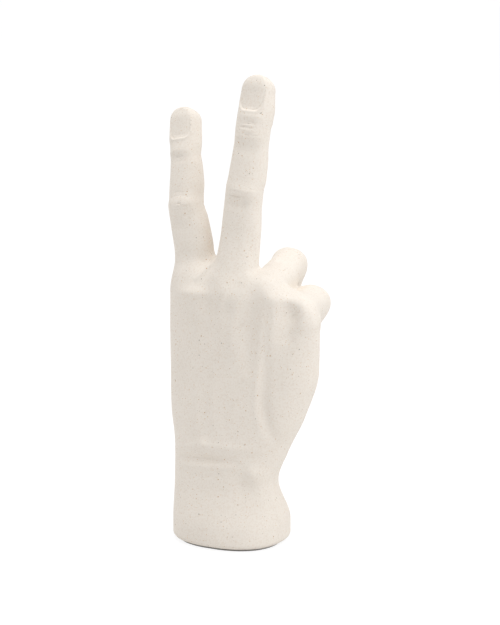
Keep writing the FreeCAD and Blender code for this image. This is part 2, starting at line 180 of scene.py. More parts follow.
# Relief of the back of the hand: height, reach, and the line it follows as (x, z)
BACK_STROKES = (
    # tendon and valley between the ring and little fingers
    (0.7, 2.2, (
        (23.6, 124.0), (24.0, 106.0), (23.2, 95.0), (22.6, 85.0), (22.4, 75.0), (24.6, 64.0),
        (28.5, 54.0),
    )),
    (-1.9, 3.2, (
        (28.0, 112.0), (27.0, 104.0), (26.4, 95.0), (25.9, 85.0), (25.8, 75.0), (27.8, 64.0),
        (31.0, 53.0),
    )),
    (0.7, 6.0, ((41.0, 100.0), (38.5, 86.0), (34.0, 70.0))),
    (-0.8, 4.0, ((35.5, 108.0), (32.0, 95.0), (30.0, 82.0))),
    # tendon and valleys of the middle finger
    (0.6, 2.4, ((18.0, 142.0), (14.4, 132.7), (12.0, 126.5), (9.7, 119.0), (8.6, 111.0), (7.0, 98.0))),
    (-1.2, 2.8, ((12.0, 138.5), (8.5, 132.0), (6.0, 127.0), (4.5, 119.0))),
    (-2.2, 4.2, ((19.8, 138.0), (19.6, 128.0), (19.0, 117.0), (18.0, 104.0), (17.2, 90.0))),
    (-1.4, 4.0, ((-3.0, 140.0), (-3.8, 132.0), (-4.4, 122.0), (-4.8, 100.0))),
    # knuckle end of the ring finger's tendon, and the valley beside it
    (0.8, 2.6, ((31.4, 134.0), (30.6, 125.0), (29.8, 112.0), (28.6, 100.0))),
    (-1.5, 3.6, ((38.4, 131.0), (37.4, 120.0), (36.0, 108.0))),
    # break of the knuckles and the slopes above it
    (1.5, 3.0, ((-28.0, 129.8), (-16.0, 131.2), (0.0, 130.5))),
    (-2.0, 5.8, ((-34.0, 144.5), (-18.0, 147.0), (-5.0, 144.5))),
    (0.9, 2.8, ((20.0, 137.0), (28.0, 132.5), (36.0, 130.5), (42.0, 128.5), (49.0, 122.0))),
    # soft tendons near the wrist
    (0.4, 3.6, ((-12.8, 128.0), (-12.2, 106.0), (-11.6, 84.0))),
    (0.6, 2.3, ((-11.6, 84.0), (-10.9, 71.0), (-10.2, 58.0))),
    (-0.6, 2.2, ((-4.5, 80.0), (-4.6, 57.0))),
    (0.45, 2.2, ((-1.0, 86.0), (-1.2, 62.0))),
    (-0.5, 2.4, ((7.5, 80.0), (5.5, 58.0))),
    (0.6, 1.5, ((-20.4, 61.5), (-18.2, 53.0))),
    # creases and folds of the wrist
    (-1.8, 1.8, ((-27.0, 43.2), (-24.5, 43.8), (-12.4, 45.6), (-2.3, 46.4), (6.5, 46.8), (14.0, 46.4))),
    (0.8, 2.4, ((-28.0, 49.0), (-19.0, 50.6), (-6.6, 53.0), (3.4, 53.2), (16.2, 53.0), (28.0, 52.0))),
    (0.7, 1.7, ((-24.0, 40.0), (-14.4, 41.0), (-2.2, 42.4), (14.0, 43.0))),
    (-0.4, 1.5, ((-14.0, 37.0), (6.0, 38.6))),
    # edge of the wrist bone, down towards the base
    (1.3, 4.6, ((19.0, 45.0), (22.0, 35.0), (26.0, 24.0), (29.0, 13.0))),
    # web between the index and middle fingers
    (1.3, 1.6, ((-4.2, 148.0), (-8.2, 144.4), (-10.8, 140.8), (-14.0, 136.6))),
)

# Knuckles and hollows of the back of the hand: height, x, z, and reach along x and z
BACK_SPOTS = (
    (2.2, 4.0, 121.0, 24.0, 22.0),
    (1.2, -15.5, 128.5, 8.5, 6.5),
    (1.3, 6.5, 131.0, 6.0, 6.5),
    (1.9, 29.5, 129.5, 5.0, 5.5),
    (1.4, 45.5, 121.5, 5.0, 8.0),
    (0.8, 40.0, 130.0, 5.0, 3.0),
    (-2.6, -21.0, 159.0, 11.0, 13.0),
    (-2.0, 9.5, 157.0, 10.0, 12.0),
    (-2.4, 37.6, 121.5, 4.6, 5.0),
    (-1.4, 35.6, 111.0, 4.6, 7.0),
    (-1.2, 14.0, 116.0, 6.0, 9.0),
    (0.7, 14.3, 141.5, 2.6, 3.0),
    (-0.6, -9.3, 145.6, 1.2, 1.0),
    (1.0, -6.6, 54.0, 3.0, 2.4),
    (1.7, 20.5, 40.0, 5.0, 4.2),
    (-0.7, 13.6, 34.0, 4.0, 7.0),
    (-1.8, 13.0, 16.0, 16.0, 8.5),
)

# Lines of the palm, in the same way
FRONT_STROKES = (
    (-0.9, 1.3, ((-20.0, 104.0), (-9.0, 96.0), (0.0, 84.0), (4.0, 70.0), (2.0, 56.0), (-6.0, 44.0))),
    (-0.8, 1.2, ((-20.0, 105.0), (-4.0, 104.0), (14.0, 96.0), (28.0, 84.0))),
    (-0.8, 1.2, ((46.0, 100.0), (32.0, 98.0), (16.0, 106.0), (2.0, 116.0))),
    (-0.7, 1.2, ((-28.0, 44.0), (-12.0, 41.0), (6.0, 40.0), (26.0, 43.0))),
    (-0.5, 1.0, ((-26.0, 38.5), (-8.0, 36.5), (12.0, 36.0), (24.0, 38.0))),
)

# Creases on a limb: place along it, turn and spread round it in degrees, depth, width and bow
INDEX_CREASES = (
    (71.3, 14.0, 20.0, 0.28, 0.6, 0.3), (69.2, 18.0, 16.0, 0.12, 0.5, 0.4),
    (75.2, 12.0, 46.0, -0.55, 2.6, 0.0), (70.0, 12.0, 40.0, 0.3, 2.0, 0.0),
    (47.2, 22.0, 44.0, -0.65, 3.8, 0.0), (45.6, 4.0, 15.0, 0.28, 0.5, 0.3),
    (42.0, 8.0, 34.0, 0.35, 0.9, 0.5), (48.5, 14.0, 6.0, 0.45, 0.5, 0.0),
    (37.5, 6.0, 44.0, 0.5, 3.4, 0.0), (41.5, 62.0, 34.0, 0.8, 4.0, 0.0),
    (53.5, 10.0, 20.0, 0.15, 0.5, -0.4),
    (73.8, 180.0, 50.0, 0.5, 0.7, 0.0), (47.0, 178.0, 50.0, 0.6, 0.7, 0.5),
    (44.6, 182.0, 45.0, 0.35, 0.6, -0.4), (21.0, 180.0, 50.0, 0.6, 0.8, 0.0),
)
MIDDLE_CREASES = (
    (82.2, 0.0, 17.0, 0.25, 0.45, -0.5), (79.8, -17.0, 20.0, 0.36, 0.5, -0.2),
    (76.3, -4.0, 15.0, 0.25, 0.5, 0.2), (81.0, -12.0, 26.0, -0.15, 0.6, 0.0),
    (78.2, -10.0, 26.0, -0.15, 0.6, 0.0), (85.2, -8.0, 50.0, -0.5, 1.9, 0.0),
    (75.6, -6.0, 50.0, -0.7, 2.5, 0.0), (69.0, -4.0, 50.0, 0.55, 3.2, 0.0),
    (45.9, -18.0, 17.0, 0.9, 0.55, -0.5), (48.0, -20.0, 18.0, 0.2, 0.5, -0.4),
    (47.6, 14.0, 44.0, -1.0, 3.4, 0.0), (42.2, -12.0, 34.0, 1.2, 2.7, 0.0),
    (103.0, -14.0, 50.0, -0.5, 6.0, 0.0),
    (80.2, 180.0, 50.0, 0.5, 0.7, 0.0), (49.4, 182.0, 50.0, 0.6, 0.7, 0.5),
    (47.0, 178.0, 45.0, 0.35, 0.6, -0.4), (22.0, 180.0, 50.0, 0.6, 0.8, 0.0),
)

# Nails: place along the limb, turn in degrees, half length, half width, recess
INDEX_NAIL = (89.2, 14.0, 8.0, 6.8, 0.45)
MIDDLE_NAIL = (96.8, -14.0, 8.5, 7.3, 0.65)
NAIL_CORNER_SHARE = 0.6
NAIL_CLOSED_SHARES = (-0.35, 0.75)
NAIL_FLATNESS = 0.75
NAIL_FLAT_SPAN = (1.0, -2.0)
NAIL_EDGE = 0.35

# Skin round a nail: height and reach, with the rim's place outside the edge
RIM_HEIGHT = 0.2
RIM_PLACE = 0.8
RIM_REACH = 0.75
GROOVE_DEPTH = 0.15
GROOVE_REACH = 0.4


# Curves


def curve(points):
    """Smooth curve through (x, y) points with no overshoot, as a function of an array."""
    xs, ys = np.array(points, float).T
    h = np.diff(xs)
    slope = np.diff(ys) / h
    tangent = np.empty_like(ys)
    tangent[0], tangent[-1] = slope[0], slope[-1]
    product = slope[:-1] * slope[1:]
    total = np.where(product > 0, slope[:-1] + slope[1:], 1.0)
    tangent[1:-1] = np.where(product > 0, 2 * product / total, 0.0)

    def value(x):
        x = np.clip(x, xs[0], xs[-1])
        i = np.clip(np.searchsorted(xs, x, side="right") - 1, 0, len(h) - 1)
        t = (x - xs[i]) / h[i]
        ends = ys[i] * (1 + 2 * t) * (1 - t) ** 2 + ys[i + 1] * t * t * (3 - 2 * t)
        return ends + h[i] * t * (1 - t) * (tangent[i] * (1 - t) - tangent[i + 1] * t)

    return value


def table(points, low, high, count=600):
    """Curve read from an even table, which is quick on large arrays."""
    grid = np.linspace(low, high, count)
    values = curve(points)(grid)
    return lambda x: np.interp(x, grid, values)


def soft_min(a, b, k):
    """Union of two fields, rounded over a width k."""
    h = np.clip(0.5 + 0.5 * (b - a) / k, 0.0, 1.0)
    return b + (a - b) * h - k * h * (1 - h)


def smooth_step(low, high, x):
    """Zero at low and one at high, with a smooth rise between."""
    t = np.clip((x - low) / (high - low), 0.0, 1.0)
    return t * t * (3 - 2 * t)


def hill(distance, size):
    """Bell shape: one in the middle, fading over the size."""
    return np.exp(-((distance / size) ** 2))


def unit(v):
    """Vector of length one in the same direction."""
    return v / np.linalg.norm(v)


def marks(lengths):
    """Places of the joints along a chain with these lengths."""
    return np.concatenate(([0.0], np.cumsum(lengths)))


# Palm field

HALF, BACK, FRONT, DRIFT = (
    table(list(zip(LEVEL_Z, [level[k] * share for level in LEVELS])), 0.0, CROWN_Z)
    for k, share in ((1, 0.5), (2, 1.0), (3, 1.0), (4, 1.0))
)


def palm_pads(u, half, z):
    """How far the pads of the palm stand out."""
    total = 0.0
    for bulge, size, share in (THENAR, HYPOTHENAR):
        total = total + bulge * hill(u - share * half, size) * hill(z - SPREAD_Z, PAD_STRETCH * size)
    return total


def stroke_relief(x, z, strokes):
    """Ridges and furrows along lines, each fading towards its ends."""
    total = np.zeros_like(x)
    for height, reach, line in strokes:
        points = np.array(line)
        low, high = points.min(0) - STROKE_REACHES * reach, points.max(0) + STROKE_REACHES * reach
        near = (x > low[0]) & (x < high[0]) & (z > low[1]) & (z < high[1])
        if not near.any():
            continue
        here = np.stack((x[near], z[near]), 1)
        runs = np.linalg.norm(np.diff(points, axis=0), axis=1)
        starts = marks(runs)
        nearest, share = np.full(len(here), np.inf), np.zeros(len(here))
        for i, run in enumerate(runs):
            step = points[i + 1] - points[i]
            t = np.clip((here - points[i]) @ step / run**2, 0.0, 1.0)
            gap = np.linalg.norm(here - points[i] - t[:, None] * step, axis=1)
            closer = gap < nearest
            nearest = np.where(closer, gap, nearest)
            share = np.where(closer, (starts[i] + t * run) / starts[-1], share)
        total[near] += height * hill(nearest, reach) * (1 - (2 * share - 1) ** 2)
    return total


def back_relief(x, z):
    """Tendons, valleys, knuckles and creases on the back of the hand."""
    total = stroke_relief(x, z, BACK_STROKES)
    for height, place, level, across, along in BACK_SPOTS:
        total += height * hill(x - place, across) * hill(z - level, along)
    return total


def palm_field(p):
    """Distance to the wrist and palm, which close in a dome above the shoulder."""
    x, y, z = p.T
    half = HALF(z)
    u = x - DRIFT(z)
    depth = np.where(y > 0, FRONT(z) + palm_pads(u, half, z), BACK(z))
    lift = np.maximum(z - SHOULDER_Z, 0.0)
    reach = (np.abs(u) / half) ** PALM_POWER + (np.abs(y) / depth) ** PALM_POWER
    reach = (reach + (lift / (CROWN_Z - SHOULDER_Z)) ** PALM_POWER) ** (1 / PALM_POWER)
    length = np.sqrt(u * u + y * y + lift * lift)
    return length * (1 - 1 / np.maximum(reach, SMALL))


# Limb field


class Limb:
    """Chain of bones with a rounded section, and the place of a point along and round it."""

    def __init__(self, joints, side, width, left, right, back, front):
        joints = [np.array(j, float) for j in joints]
        self.tip = TIP_SHARE * width
        joints[-1] = joints[-1] - unit(joints[-1] - joints[-2]) * self.tip
        self.joints = joints
        self.half = width / 2
        bones = len(joints) - 1
        self.left, self.right, self.back, self.front = (
            table(t, 0.0, bones) for t in (left, right, back, front)
        )
        self.axes = [unit(b - a) for a, b in zip(joints[:-1], joints[1:])]
        self.lengths = [np.linalg.norm(b - a) for a, b in zip(joints[:-1], joints[1:])]
        self.starts = marks(self.lengths)
        self.side = side
        self.low = np.min(joints, axis=0) - FAR
        self.high = np.max(joints, axis=0) + FAR

    def place(self, p, bones=None):
        """Distance, place along the limb, angle round it (0 is its back) and half width."""
        last = len(self.axes) - 1
        best = None
        for i in range(last + 1) if bones is None else bones:
            axis = self.axes[i]
            across = unit(self.side - axis * (self.side @ axis))
            deep = np.cross(axis, across)
            q = p - self.joints[i]
            along = q @ axis
            measure = i + np.clip(along / self.lengths[i], 0.0, 1.0)
            sideways, inward = q @ across, q @ deep
            beyond = np.maximum(along - self.lengths[i], 0.0) + np.minimum(along, 0.0)
            left, right = self.left(measure), self.right(measure)
            middle = self.half * (left + right) / 2
            half_width = self.half * np.where(sideways > 0, right, left)
            half_depth = middle * np.where(inward > 0, self.front(measure), self.back(measure))
            end = middle
            if i == last:
                tilt = TIP_TILT * (inward + self.half / 2) * smooth_step(0.0, TIP_EASE, beyond)
                end = np.where(beyond > 0, self.tip, middle)
                beyond = np.where(beyond > 0, np.maximum(beyond + tilt, 0.0), beyond)
            sizes = ((sideways, half_width), (inward, half_depth), (beyond, end))
            reach = sum((np.abs(part) / size) ** LIMB_POWER for part, size in sizes) ** (1 / LIMB_POWER)
            length = np.sqrt(sideways * sideways + inward * inward + beyond * beyond)
            gap = length * (1 - 1 / np.maximum(reach, SMALL))
            new = (gap, self.starts[i] + along, np.arctan2(sideways, -inward), half_width)
            if best is None:
                best = new
            else:
                closer = gap < best[0]
                best = [np.where(closer, one, other) for one, other in zip(new, best)]
        return best

    def field(self, p, relief=None, bones=None):
        """Distance to the limb, read only near it."""
        near = np.all((p > self.low) & (p < self.high), axis=1)
        result = np.full(len(p), FAR, p.dtype)
        if near.any():
            gap, along, angle, half_width = self.place(p[near], bones)
            if relief is not None:
                close = np.abs(gap) < LIMB_NEAR
                gap[close] -= relief(along[close], angle[close], half_width[close])
            result[near] = np.minimum(gap, FAR)
        return result


def crease_relief(along, angle, creases):
    """Creases across a limb, each fading at its ends."""
    total = np.zeros_like(along)
    for place, turn, spread, depth, width, bow in creases:
        round_share = np.angle(np.exp(1j * (angle - math.radians(turn)))) / math.radians(spread)
        line = place + bow * round_share**2
        total -= depth * hill(along - line, width) * np.exp(-(round_share**4))
    return total


def nail_relief(along, angle, half_width, nail):
    """Nail plate let into the skin, with its rim, open towards the fingertip."""
    place, turn, half_length, half_breadth, recess = nail
    x = np.abs((angle - math.radians(turn)) * half_width)
    y = along - place
    corner = NAIL_CORNER_SHARE * half_breadth
    over_x, over_y = x - half_breadth + corner, np.abs(y) - half_length + corner
    outside = np.hypot(np.maximum(over_x, 0), np.maximum(over_y, 0))
    edge = outside + np.minimum(np.maximum(over_x, over_y), 0) - corner
    open_low, open_high = (share * half_length for share in NAIL_CLOSED_SHARES)
    closed = 1 - smooth_step(open_low, open_high, y)
    plate = smooth_step(NAIL_EDGE, -NAIL_EDGE, edge)
    rim = RIM_HEIGHT * hill(edge - RIM_PLACE, RIM_REACH) * closed
    groove = GROOVE_DEPTH * hill(edge, GROOVE_REACH) * closed
    flat = np.maximum(1 - (x / half_breadth) ** 2, 0.0) * smooth_step(*NAIL_FLAT_SPAN, edge)
    sunk = plate * (1 - smooth_step(-half_length, half_length, y))
    return rim - groove - recess * sunk - NAIL_FLATNESS * flat


def limb_relief(creases, nail):
    """Relief of one limb, as a function of the place on it."""

    def relief(along, angle, half_width):
        return crease_relief(along, angle, creases) + nail_relief(along, angle, half_width, nail)

    return relief


# Skeleton


def finger_joints(spec):
    """Joints of a finger from its knuckle to its tip, and its side."""
    side_share, sink, rise, lean, turn, bones, bends, _ = spec
    knuckle = np.array(
        (DRIFT(KNUCKLE_Z) + side_share * HALF(KNUCKLE_Z), sink - BACK(KNUCKLE_Z), KNUCKLE_Z + rise)
    )
    lean, turn = math.radians(lean), math.radians(turn)
    up = np.array((math.sin(lean), 0, math.cos(lean)))
    palmward = np.array((math.sin(turn), math.cos(turn), 0))
    joints, bend = [knuckle], 0.0
    for bone, more in zip(bones, bends):
        bend += math.radians(more)
        joints.append(joints[-1] + unit(up * math.cos(bend) + palmward * math.sin(bend)) * bone)
    return joints, unit(np.cross(palmward, up))


def thumb_joints(ring_joints):
    """Joints of the thumb, worked back from the ring finger on which its tip lies."""
    rest = (RING[-1] + THUMB_WIDTH) * DEPTH_SHARE / 2 - THUMB_OVERLAP
    joints = [ring_joints[2] + np.array((THUMB_REACH, rest, THUMB_LIFT))]
    for bone, heading, climb in list(zip(THUMB_BONES, THUMB_HEADINGS, THUMB_CLIMBS))[::-1]:
        heading, climb = math.radians(heading), math.radians(climb)
        level = math.cos(climb)
        axis = np.array((level * math.cos(heading), level * math.sin(heading), math.sin(climb)))
        joints.insert(0, joints[0] - axis * bone)
    side_share, front_share = THUMB_ROOT_SHARES
    root = (DRIFT(HEEL_Z) + side_share * HALF(HEEL_Z), front_share * FRONT(HEEL_Z), HEEL_Z)
    return [np.array(root)] + joints


index_joints, index_side = finger_joints(INDEX)
middle_joints, middle_side = finger_joints(MIDDLE)
ring_joints, ring_side = finger_joints(RING)
little_joints, little_side = finger_joints(LITTLE)
index_limb = Limb(
    index_joints, index_side, INDEX[-1],
    INDEX_LEFT_SHARES, INDEX_RIGHT_SHARES, RAISED_BACK_SHARES, RAISED_FRONT_SHARES,
)
middle_limb = Limb(
    middle_joints, middle_side, MIDDLE[-1],
    MIDDLE_LEFT_SHARES, MIDDLE_RIGHT_SHARES, RAISED_BACK_SHARES, RAISED_FRONT_SHARES,
)
ring_limb, little_limb = (
    Limb(
        joints, side, spec[-1],
        FOLDED_WIDE_SHARES, FOLDED_WIDE_SHARES, FOLDED_BACK_SHARES, FOLDED_FRONT_SHARES,
    )
    for joints, side, spec in (
        (ring_joints, ring_side, RING), (little_joints, little_side, LITTLE),
    )
)
thumb_chain = thumb_joints(ring_joints)
thumb_limb = Limb(
    thumb_chain, THUMB_SIDE, THUMB_WIDTH,
    THUMB_WIDE_SHARES, THUMB_WIDE_SHARES, THUMB_BACK_SHARES, THUMB_FRONT_SHARES,
)

# Nails and creases of the thumb and the folded fingers, placed from their joints
THUMB_NAIL = (thumb_limb.starts[2] + 17.0, 0.0, 8.6, 7.2, 0.5)
RING_NAIL = (ring_limb.starts[-1] - 0.5, 0.0, 7.2, 6.4, 0.45)
LITTLE_NAIL = (little_limb.starts[-1] - 0.5, 0.0, 6.2, 5.6, 0.4)
THUMB_CREASES = (
    (thumb_limb.starts[2] + 1.0, 0.0, 38.0, 0.3, 0.8, 0.3),
    (thumb_limb.starts[2] + 3.6, 0.0, 32.0, 0.25, 0.7, 0.3),
    (thumb_limb.starts[2] - 4.0, 0.0, 46.0, -0.5, 3.0, 0.0),
)

index_relief = limb_relief(INDEX_CREASES, INDEX_NAIL)
middle_relief = limb_relief(MIDDLE_CREASES, MIDDLE_NAIL)
ring_relief = limb_relief((), RING_NAIL)
little_relief = limb_relief((), LITTLE_NAIL)
thumb_relief = limb_relief(THUMB_CREASES, THUMB_NAIL)
RELIEFS = (
    (index_limb, index_relief), (middle_limb, middle_relief), (thumb_limb, thumb_relief),
    (ring_limb, ring_relief), (little_limb, little_relief),
)


def capsule(p, start, end, radius):
    """Distance to a rod with round ends."""
    line = end - start
    t = np.clip((p - start) @ line / (line @ line), 0.0, 1.0)
    gap = p - start - t[:, None] * line
    return np.sqrt((gap * gap).sum(1)) - radius


def folded_field(p, limb, relief, joints, width):
    """Folded finger: its two lofts meet in a crease, and clay fills the fold."""
    upper = limb.field(p, bones=[0])
    lower = limb.field(p, relief, bones=[1, 2])
    start, end = (joints[0] + joints[1]) / 2, (joints[2] + joints[3]) / 2
    fill = capsule(p, start, end, FILL_SHARE * width / 2)
    return soft_min(soft_min(upper, lower, FOLD_SOFT), fill, FILL_SOFT)


def web_field(p):
    """Web of skin from the thumb back to the palm."""
    _, knuckle, middle, _ = thumb_chain
    anchor = np.array((DRIFT(middle[2]), 0.0, middle[2]))
    centre = (knuckle + middle) / 2
    return capsule(p, centre, (anchor + knuckle) / 2, WEB_SHARE * THUMB_WIDTH / 2)


# The whole hand

GROUPS = ("palm", "index", "middle", "ring", "little", "thumb")


def group_fields(p):
    """Distance to the palm and to each finger, by name."""
    return {
        "palm": palm_field(p),
        "index": index_limb.field(p, index_relief),
        "middle": middle_limb.field(p, middle_relief),
        "ring": folded_field(p, ring_limb, ring_relief, ring_joints, RING[-1]),
        "little": folded_field(p, little_limb, little_relief, little_joints, LITTLE[-1]),
        "thumb": thumb_limb.field(p, thumb_relief),
    }


def hand_field(p):
    """Distance to the whole hand, with its relief, rounded foot and vent."""
    x, y, z = p.T
    group = group_fields(p)
    fingers = soft_min(group["index"], group["middle"], WEB_SOFT)
    fingers = soft_min(fingers, group["ring"], WEB_SOFT)
    fingers = soft_min(fingers, group["little"], FOLDED_SOFT)
    body = soft_min(group["palm"], web_field(p), THENAR_SOFT)
    body = soft_min(body, group["thumb"], THENAR_SOFT)
    touch = smooth_step(*TOUCH_SPAN, y)
    skin = soft_min(body, fingers, PALM_SOFT + (TOUCH_SOFT - PALM_SOFT) * touch)
    close = np.abs(skin) < RELIEF_NEAR
    behind, before = close & (y < BACK_FADE[0]), close & (y > FRONT_FADE[0])
    skin[behind] -= back_relief(x[behind], z[behind]) * smooth_step(*BACK_FADE, y[behind])
    fade = smooth_step(*FRONT_FADE, y[before]) * smooth_step(*THUMB_FADE, y[before])
    skin[before] -= stroke_relief(x[before], z[before], FRONT_STROKES) * fade
    side, below = skin + EDGE_ROUND, BASE_Z - z + EDGE_ROUND
    outside = np.hypot(np.maximum(side, 0), np.maximum(below, 0))
    skin = outside + np.minimum(np.maximum(side, below), 0) - EDGE_ROUND
    well = np.hypot(x - VENT_OFFSET, y) - VENT_RADIUS
    return np.maximum(skin, -np.maximum(well, z - FLOOR_Z - VENT_RADIUS))


def hand_distance(p):
    """Distance to the whole hand, worked out in chunks to save memory."""
    return np.concatenate([hand_field(p[i : i + CHUNK]) for i in range(0, len(p), CHUNK)])


# Meshing

STEP = 0.62
COARSE = 4
BAND = 4.2
MARGIN = 2.0
CHUNK = 300000

# Finer mesh: the least relief that asks for it, and how near the limb
DETAIL_RELIEF = 0.03
DETAIL_NEAR = 2.0

# Steps for reading slopes, and the least squared slopes that a move is divided by
SLOPE_STEP = 0.06
SEAM_STEP = 0.05
LEAST_SLOPE = 0.2
LEAST_SEAM_SLOPE = 0.1
SEAM_ROUNDS = 3
SEAM_MOVE_SHARE = 0.3


def sample_hand():
    """Field on a fine grid, worked out only near the surface."""
    low = np.array(cad_low) / MM - MARGIN
    high = np.array(cad_high) / MM + MARGIN
    counts = np.ceil((high - low) / (STEP * COARSE)).astype(int)
    centres = [low[k] + (np.arange(counts[k]) + 0.5) * STEP * COARSE for k in range(3)]
    grid = np.stack(np.meshgrid(*centres, indexing="ij"), -1).reshape(-1, 3)
    fine = hand_distance(grid).reshape(counts)
    for axis in range(3):
        fine = np.repeat(fine, COARSE, axis)
    places = np.argwhere(np.abs(fine) < BAND)
    fine[tuple(places.T)] = hand_distance(low + (places + 0.5) * STEP)
    return low + 0.5 * STEP, fine


def surface_net(origin, values):
    """Quads on the zero surface of a grid of values."""
    inside = values < 0
    shape = np.array(values.shape) - 1
    corners = [(i, j, k) for i in (0, 1) for j in (0, 1) for k in (0, 1)]
    total = np.zeros(shape, np.int8)
    for i, j, k in corners:
        total += inside[i : i + shape[0], j : j + shape[1], k : k + shape[2]]
    cells = np.argwhere((total > 0) & (total < 8))
    number = np.full(shape, -1, np.int64)
    number[tuple(cells.T)] = np.arange(len(cells))
    levels = {corner: values[tuple((cells + corner).T)] for corner in corners}
    place, count = np.zeros((len(cells), 3)), np.zeros(len(cells))
    for corner in corners:
        for axis in range(3):
            if corner[axis]:
                continue
            along = np.eye(3)[axis]
            start, end = levels[corner], levels[tuple((corner + along).astype(int))]
            cross = (start < 0) != (end < 0)
            t = np.where(cross, start / np.where(cross, start - end, 1.0), 0.0)
            place += np.where(cross[:, None], corner + t[:, None] * along, 0.0)
            count += cross
    vertices = origin + (cells + place / count[:, None]) * STEP
    quads = []
    for axis in range(3):
        u, v = (axis + 1) % 3, (axis + 2) % 3
        first = np.take(inside, range(values.shape[axis] - 1), axis)
        second = np.take(inside, range(1, values.shape[axis]), axis)
        edges = np.argwhere(first != second)
        leaving = first[tuple(edges.T)]
        ring = []
        for du, dv in ((-1, -1), (0, -1), (0, 0), (-1, 0)):
            cell = edges.copy()
            cell[:, u] += du
            cell[:, v] += dv
            ring.append(number[tuple(cell.T)])
        ring = np.stack(ring, 1)
        ring[~leaving] = ring[~leaving][:, ::-1]
        quads.append(ring)
    return vertices, np.concatenate(quads)


def gradient(field, p, reach):
    """Slope of a field, by small steps along each axis."""
    parts = [(field(p + step) - field(p - step)) / (2 * reach) for step in np.eye(3) * reach]
    return np.stack(parts, -1)


def settle(p, rounds):
    """Moves points onto the surface along its slope."""
    for _ in range(rounds):
        slope = gradient(hand_distance, p, SLOPE_STEP)
        size = np.maximum((slope * slope).sum(1), LEAST_SLOPE)
        step = np.clip(hand_distance(p) / size, -STEP, STEP)
        p = p - slope * step[:, None]
    return p


def surface_normals(p):
    """Unit normals of the hand at points on it."""
    slope = gradient(hand_distance, p, SLOPE_STEP)
    return slope / np.linalg.norm(slope, axis=1)[:, None]


def detail(p):
    """Where nails and creases need a finer mesh."""
    fine = np.zeros(len(p), bool)
    for limb, relief in RELIEFS:
        near = np.flatnonzero(np.all((p > limb.low) & (p < limb.high), axis=1))
        gap, *place = limb.place(p[near])
        fine[near] |= (np.abs(gap) < DETAIL_NEAR) & (np.abs(relief(*place)) > DETAIL_RELIEF)
    return fine


def refine(vertices, quads):
    """Divides the quads that carry fine relief."""
    mesh = bmesh.new()
    points = [mesh.verts.new(v) for v in vertices.tolist()]
    for quad in quads.tolist():
        mesh.faces.new([points[i] for i in quad])
    fine = detail(vertices[quads].mean(1))
    mesh.faces.ensure_lookup_table()
    edges = {edge for i in np.flatnonzero(fine) for edge in mesh.faces[i].edges}
    bmesh.ops.subdivide_edges(mesh, edges=list(edges), cuts=1, use_grid_fill=True)
    mesh.verts.index_update()
    vertices = np.array([v.co[:] for v in mesh.verts])
    faces = [[v.index for v in face.verts] for face in mesh.faces]
    mesh.free()
    return vertices, faces


# Pieces

NODES = (
    "wrist_palm_shell", "index_finger", "middle_finger", "ring_finger", "little_finger", "thumb",
    "base_slab",
)
SHELL, SLAB = 0, 6


def piece_fields(p):
    """Distance to each piece, stacked in the order of the nodes."""
    group = group_fields(p)
    fields = np.stack([group[name] for name in GROUPS], 1)
    return np.column_stack((fields, np.maximum(fields[:, SHELL], p[:, 2] - FLOOR_Z)))


def label(p):
    """Number of the piece that each point lies on."""
    owner = piece_fields(p)[:, :SLAB].argmin(1)
    owner[p[:, 2] < FLOOR_Z] = SLAB
    return owner


def seam_field(p, first, second):
    """Zero on the seam between two pieces."""
    fields = piece_fields(p)
    rows = np.arange(len(p))
    gap = fields[rows, first] - fields[rows, second]
    return np.where(second == SLAB, p[:, 2] - FLOOR_Z, gap)


def draw_seams(vertices, faces, owner):
    """Moves the vertices between pieces onto the exact seams."""
    first = np.full(len(vertices), len(NODES))
    second = np.full(len(vertices), -1)
    for face, piece in zip(faces, owner):
        for i in face:
            first[i] = min(first[i], piece)
            second[i] = max(second[i], piece)
    seam = np.flatnonzero(first != second)
    p, first, second = vertices[seam], first[seam], second[seam]

    def field(q):
        return seam_field(q, first, second)

    for _ in range(SEAM_ROUNDS):
        gap = field(p)
        slope = gradient(field, p, SEAM_STEP)
        normal = surface_normals(p)
        slope -= normal * (slope * normal).sum(1)[:, None]
        size = np.maximum((slope * slope).sum(1), LEAST_SEAM_SLOPE)
        move = slope * (gap / size)[:, None]
        length = np.maximum(np.linalg.norm(move, axis=1), TINY)
        p = p - move * np.minimum(1.0, SEAM_MOVE_SHARE * STEP / length)[:, None]
        p = settle(p, 1)
    vertices[seam] = p
    return vertices


def boundary_loops(faces):
    """Loops of edges that only one face of the piece uses, in the faces' direction."""
    edges = {(face[i - 1], face[i]) for face in faces for i in range(len(face))}
    follow = {}
    for a, b in edges:
        if (b, a) not in edges:
            follow.setdefault(a, []).append(b)
    loops = []
    while follow:
        start = next(iter(follow))
        loop, here = [start], start
        while True:
            there = follow[here].pop()
            if not follow[here]:
                del follow[here]
            if there == start or there not in follow:
                break
            loop.append(there)
            here = there
        loops.append(loop)
    return loops


def add_object(name, points, faces, material):
    """Smooth mesh object from points in metres."""
    mesh = bpy.data.meshes.new(name)
    mesh.from_pydata(np.array(points).tolist(), [], faces)
    mesh.polygons.foreach_set("use_smooth", [True] * len(faces))
    mesh.materials.append(material)
    item = bpy.data.objects.new(name, mesh)
    bpy.context.scene.collection.objects.link(item)
    return item


